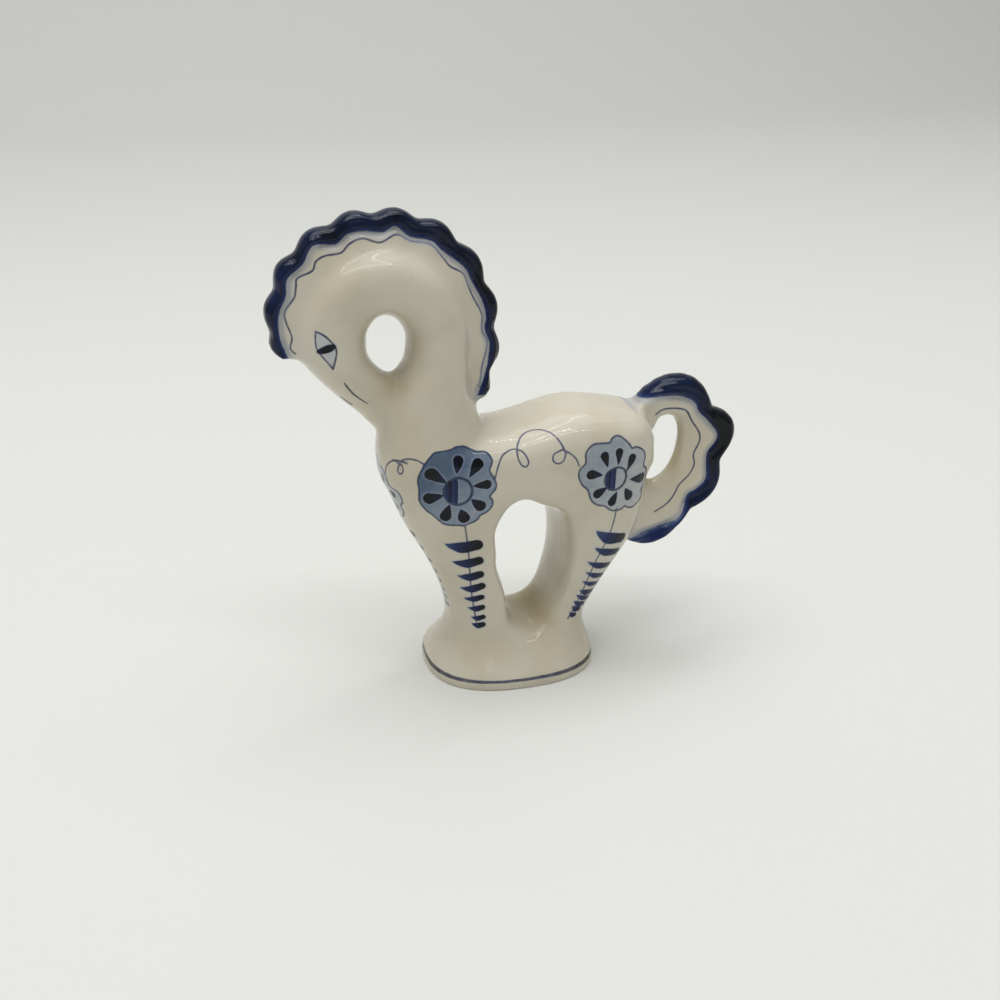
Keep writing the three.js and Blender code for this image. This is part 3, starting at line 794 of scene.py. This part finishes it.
# %% [markdown]
# ## Ten pieces again
#
# The library keeps the horse as its elements, so the skin is cut where the clay was joined. Each cutter is an
# outline in the side view, pulled straight through the horse; a boolean keeps what is inside it and closes the cut
# faces. The pieces meet exactly, and each takes its shading from the whole skin, so that no seam shows.

# %% Cutters and cuts
HALF = 30  # millimetres, wider than half the horse


def prism(outline):
    """A block through the horse with this outline in the side view."""
    bpy.ops.mesh.primitive_circle_add(vertices=len(outline), radius=1, fill_type="NGON", rotation=(0, 0, 0))
    block = bpy.context.object
    for vertex, (x, z) in zip(block.data.vertices, outline):
        vertex.co = (x * MM, -HALF * MM, z * MM)
    edit(block)
    bpy.ops.mesh.select_all(action="SELECT")
    bpy.ops.mesh.extrude_region_move(TRANSFORM_OT_translate={"value": (0, 2 * HALF * MM, 0)})
    bpy.ops.mesh.select_all(action="SELECT")
    bpy.ops.mesh.normals_make_consistent(inside=False)
    done()
    return block


def cut_by(piece, outline):
    """The part of a piece inside an outline, as a new object; the piece keeps the rest."""
    block = prism(outline)
    choose(piece)
    bpy.ops.object.duplicate()
    inside = bpy.context.object
    for part, operation in ((inside, "INTERSECT"), (piece, "DIFFERENCE")):
        modify(part, "BOOLEAN", object=block, operation=operation, solver="MANIFOLD")
    bpy.data.objects.remove(block)
    return inside


WIDE = 80  # millimetres, beyond the horse on every side
MANE_ROOT = [
    (-45, 66), (-45.2, 70.5), (-45.6, 73.1), (-45.4, 79.4), (-44.9, 82.5), (-43.6, 85.4), (-41.9, 88), (-40, 90.7),
    (-37.4, 92.7), (-34.4, 94.3), (-31.3, 95.4), (-27.9, 95.9), (-24.5, 95.6), (-21.3, 94.5), (-18.4, 92.8),
    (-15.9, 90.6), (-13.9, 88), (-12.3, 85.3), (-11.2, 82.4), (-10.4, 79.4), (-10.3, 76.3), (-10.7, 70),
    (-10.8, 66.4), (-10.9, 61.8),
]
TAIL_ROOT = [
    (24.8, 60.6), (27.9, 58), (29.2, 55.5), (30.1, 52), (30.7, 48), (30.5, 45), (29.9, 42), (29.5, 38), (29, 34.5),
    (27.4, 30), (26.2, 27.6), (25.1, 25.4), (23.8, 23),
]
PIECES = {}
whole = skin.copy()
whole.data = skin.data.copy()
bpy.context.collection.objects.link(whole)
mane = cut_by(skin, [*MANE_ROOT, (0, 61.8), (0, 120), (-WIDE, 120), (-WIDE, 66)])
mane_border = [tuple(mark) for mark in flowing(MANE_BORDER, steps=4)]
PIECES["mane_rim"] = cut_by(mane, [(-44, 66), *mane_border, (0, 60), (0, 120), (-WIDE, 120), (-WIDE, 66)])
PIECES["mane_band"] = mane
tail = cut_by(skin, [*TAIL_ROOT, (WIDE, 23), (WIDE, 70), (24.8, 70)])
tail_border = [tuple(mark) for mark in flowing(TAIL_BORDER, steps=4)]
PIECES["tail_rim"] = cut_by(tail, [(22, 60), *tail_border, (22, 20), (WIDE, 20), (WIDE, 72), (22, 72)])
PIECES["tail_plume"] = tail
PIECES["foot"] = cut_by(skin, [(-WIDE, -5), (WIDE, -5), (WIDE, 8.6), (-WIDE, 8.6)])
legs = cut_by(skin, [(-WIDE, 0), (WIDE, 0), (WIDE, 39.9), (-WIDE, 39.9)])
PIECES["front_legs"] = cut_by(legs, [(-WIDE, 0), (0.96, 0), (2.76, 45), (-WIDE, 45)])
PIECES["hind_legs"] = legs
PIECES["barrel"] = cut_by(
    skin, [(-WIDE, 30), (WIDE, 30), (WIDE, 70), (0, 60.8), (-8.4, 59.8), (-29.6, 57.2), (-WIDE, 51)]
)
EYE = (-26.9, 75.4)  # middle of the hole that the neck curls round, as (x, z)
spokes = [math.radians(degrees) for degrees in (150, 203, 256)]
PIECES["head"] = cut_by(skin, [EYE, *((EYE[0] + WIDE * math.cos(a), EYE[1] + WIDE * math.sin(a)) for a in spokes)])
PIECES["neck"] = skin
print({name: len(piece.data.vertices) for name, piece in PIECES.items()})

# %% [markdown]
# ## What the points remember
#
# Each piece learns where the strokes are, as attributes on its points, and takes its normals from the whole skin.
# A material reads the attributes by name.

# %% Attributes and shading
def remember(piece, name, values):
    kind = "FLOAT_VECTOR" if values.ndim == 2 else "FLOAT"
    layer = piece.data.attributes.new(name, kind, "POINT")
    layer.data.foreach_set("vector" if values.ndim == 2 else "value", values.astype(np.float32).ravel())


def spot(points, x, z, wide, high):
    return np.exp(-(((points[:, 0] - x) / wide) ** 2) - (((points[:, 2] - z) / high) ** 2))


# brown glaze pooling that is also painted shade: the bottoms of the leg, neck and tail holes, beside the tail's
# hole, and low on the front legs by the foot
POOL_AND_SHADE_SPOTS = (  # how deep, x, z, and how wide and high
    (1, 3, 12.6, 4.2, 2.6), (0.6, -26.4, 67.6, 3.2, 2.2), (0.8, 31, 40.8, 2.6, 2.2), (0.4, 36.6, 45, 2, 6),
    (0.35, -11, 8.5, 9, 5),
)


def pooling_and_shade(points):
    """Where the glaze gathers and turns brown; the same brown is painted shade in the bottoms of the holes and low
    on the front legs by the foot.
    """
    return np.maximum.reduce([depth * spot(points, *place) for depth, *place in POOL_AND_SHADE_SPOTS])


for name, piece in PIECES.items():
    piece.name = piece.data.name = "glazed_" + name
    points = points_of(piece)
    for key, values in zip(("offset", "half", "far", "load"), line.soak(points)):
        remember(piece, "line_" + key, values)
    for key, values in zip(("far", "load"), press.soak(points)[2:]):
        remember(piece, "press_" + key, values)
    for key, values in zip(("far", "load"), wash(points)):
        remember(piece, "wash_" + key, values)
    remember(piece, "border", to_border(points))
    remember(piece, "pooling_and_shade", pooling_and_shade(points))
    modify(piece, "DATA_TRANSFER", object=whole, use_loop_data=True, data_types_loops={"CUSTOM_NORMAL"},
           loop_mapping="POLYINTERP_NEAREST")
bpy.data.objects.remove(whole)
print("attributes:", [a.name for a in skin.data.attributes if not a.name.startswith(".")])

# %% [markdown]
# ## Painted porcelain
#
# The clay is a warm white, greyer where the glaze is thin and brown where it pools; that brown is also painted
# shade in the hollows. Cobalt oxide under a glaze is blue where it is thin and nearly black where the brush left
# much of it, so one ramp from pale blue to black serves every stroke; only the load of the brush differs. Over it
# lies the smooth, clear glaze.

# %% The painted glaze
COBALT = {"stops": [
    (0, srgb(150, 162, 182)), (1, srgb(3, 7, 14)), (0.35, srgb(58, 78, 120)), (0.6, srgb(25, 41, 88)),
]}
WASH = {"stops": [(0, srgb(190, 192, 190)), (1, srgb(80, 98, 122)), (0.5, srgb(130, 143, 158))]}
BARE = (0.0004, 0.0002)  # metres of height between which the glaze ends above the ground ring


def painted_glaze(name):
    paint = Paint(name)
    place = paint.node("ShaderNodeTexCoord", output="Object")
    height = paint.node("ShaderNodeSeparateXYZ", {}, {0: place}, output=2)
    cloud = paint.noise(55, 4, 0.55)
    fine = paint.noise(900, 2, 0.5)
    streaks = paint.noise(480, 3, 0.6)
    wobble = (fine - 0.5) * 0.2

    # warm clay with grey clouds, a few specks, and brown where the glaze pools, which is also painted shade in the
    # hollows
    clay = paint.blend(paint.span(cloud, 0.35, 0.68), srgb(212, 206, 190), srgb(203, 195, 175))
    speck = paint.span(paint.noise(1500, 1, 0.4), 0.74, 0.8)
    clay = paint.blend(speck * 0.3, clay, srgb(150, 140, 122))
    # the brown of pooled glaze, darkening the hollows as painted shade
    color = paint.blend(paint.attribute("pooling_and_shade") * 0.75, clay, srgb(170, 155, 110))

    # the pale wash inside the flowers, and a faint halo round each press of the brush
    washed = paint.span(paint.attribute("wash_far") + wobble, 0.1, -0.1)
    depth = paint.attribute("wash_load") + (cloud - 0.5) * 0.9 + (streaks - 0.5) * 0.35
    color = paint.blend(washed, color, paint.node("ShaderNodeValToRGB", WASH, {0: depth}))

    halo = paint.span(paint.attribute("press_far"), 0.55, 0, 0, 0.4)
    color = paint.blend(halo, color, srgb(150, 162, 188))

    # thin lines: the length of the way to the stroke, less half its width
    shift = paint.attribute("line_offset", "Vector")
    away = paint.node("ShaderNodeVectorMath", {"operation": "LENGTH"}, {0: shift}, output="Value")
    outside = (away - paint.attribute("line_half")).at_least(paint.attribute("line_far") - 0.35)
    drawn = paint.span(outside + wobble * 0.6, 0.12, -0.1) * (0.85 + (streaks - 0.5) * 0.5)
    color = paint.blend(drawn, color, paint.node("ShaderNodeValToRGB", COBALT, {0: paint.attribute("line_load")}))

    # petals and leaves
    pressed = paint.span(paint.attribute("press_far") + wobble, 0.09, -0.07)
    load = paint.attribute("press_load") + (streaks - 0.5) * 0.45
    color = paint.blend(pressed, color, paint.node("ShaderNodeValToRGB", COBALT, {0: load}))

    # the covered edge, its colour bleeding a little into the white; it is thinner at the tail's lower end
    border = paint.attribute("border")
    bleed = paint.span(border, 1.7, 0.3, 0, 0.6)
    color = paint.blend(bleed, color, srgb(150, 158, 174))
    covered = paint.span(border + wobble, 0.15, -0.15)
    thick = paint.span(border, 0, -1.2, 0.5, 0.92) + (cloud - 0.5) * 1.1 + (streaks - 0.5) * 0.3
    thick = thick - paint.span(height, 0.042, 0.028, 0, 0.2)
    color = paint.blend(covered, color, paint.node("ShaderNodeValToRGB", COBALT, {0: thick}))

    # the unglazed ground ring, then the gloss
    bare = paint.span(height, *BARE)
    color = paint.blend(bare, color, srgb(222, 214, 200))
    gloss = paint.span(fine, 0.2, 0.8, 0.05, 0.1) + bare * 0.6
    wavy = paint.noise(140, 2, 0.5)
    normal = paint.node("ShaderNodeBump", {}, {"Strength": 0.12, "Distance": 0.0006, "Height": wavy}, "Normal")
    return paint.finish(Base_Color=color, Roughness=gloss, Normal=normal, Specular_IOR_Level=0.25)


glazes = {slot: painted_glaze(slot) for slot in ("white_glaze", "cobalt_glaze")}
print("finishes:", ", ".join(glazes))

# %% [markdown]
# ## Light and table
#
# The horse stands on a pale sheet that curves up behind it. One very large soft lamp hangs over the table and the
# room gives the rest, so shadows are faint. Three long, narrow lamps draw the fine bright lines in the glaze.

# %% The sheet
bpy.ops.mesh.primitive_plane_add(size=1)
sheet = bpy.context.object
sheet.name = "sheet"
sheet.scale = (4, 1.8, 1)
sheet.location = (0, 0.05, 0)
bpy.ops.object.transform_apply(location=True, rotation=True, scale=True)
edit(sheet, "EDGE")
bpy.ops.mesh.select_all(action="DESELECT")
done()
for edge in sheet.data.edges:
    edge.select = all(sheet.data.vertices[i].co.y > 0.5 for i in edge.vertices)
bpy.ops.object.mode_set(mode="EDIT")
STEPS, CURVE = 8, 0.078  # the steps of the curve, and the metres of each
for step in range(STEPS):
    lean = math.radians(90 * (step + 0.5) / STEPS)
    move = (0, CURVE * math.cos(lean), CURVE * math.sin(lean))
    bpy.ops.mesh.extrude_region_move(TRANSFORM_OT_translate={"value": move})
bpy.ops.mesh.extrude_region_move(TRANSFORM_OT_translate={"value": (0, 0, 1.6)})
done()
bpy.ops.object.shade_smooth()

paper = Paint("paper")
back = paper.node("ShaderNodeSeparateXYZ", {}, {0: paper.node("ShaderNodeTexCoord", output="Object")}, output=1)
# the sheet is painted a little darker towards the back: painted shade where less lamp light reaches
paper_color = paper.blend(paper.span(back, 0.05, 0.65), srgb(225, 226, 222), srgb(219, 220, 216))
sheet.data.materials.append(paper.finish(Base_Color=paper_color, Roughness=0.9, Specular_IOR_Level=0.1))
print("sheet:", len(sheet.data.polygons), "faces")

# %% Lamps
world = bpy.data.worlds.new("room")
bpy.context.scene.world = world
world.use_nodes = True
world.node_tree.nodes["Background"].inputs["Color"].default_value = (*srgb(246, 246, 243), 1)
world.node_tree.nodes["Background"].inputs["Strength"].default_value = 0.36
bpy.context.scene.view_settings.view_transform = "Standard"


def lamp(name, power, size, place, target=(0, 0, 0.05)):
    """A rectangle of light that faces a target."""
    bpy.ops.object.light_add(type="AREA", location=place)
    light = bpy.context.object
    light.name = name
    light.data.shape = "RECTANGLE"
    light.data.size, light.data.size_y = size
    light.data.energy = power
    light.rotation_euler = (light.location - Vector(target)).to_track_quat("Z", "Y").to_euler()


lamp("soft_box", 17.3, (2, 1.6), (-0.1, 0.1, 1.6))
for name, place in (("left", (-0.1, -0.35, 0.95)), ("middle", (-0.1, -0.1, 1.0)), ("right", (-0.1, 0.15, 1.0))):
    lamp("strip_" + name, 1, (1, 0.014), place)

# %% [markdown]
# ## Riding on the body
#
# Nothing on the horse moves, so every piece rides on the one body. Each wears the white or the cobalt glaze, and
# the CAD node that it stands for is hidden.

# %% Riding
for name, piece in PIECES.items():
    slot = "cobalt_glaze" if name.endswith("rim") else "white_glaze"
    piece.data.materials.clear()
    piece.data.materials.append(glazes[slot])
    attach(piece, "root")
    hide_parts(name)
print("pieces:", len(PIECES))

# %% End
print("end")
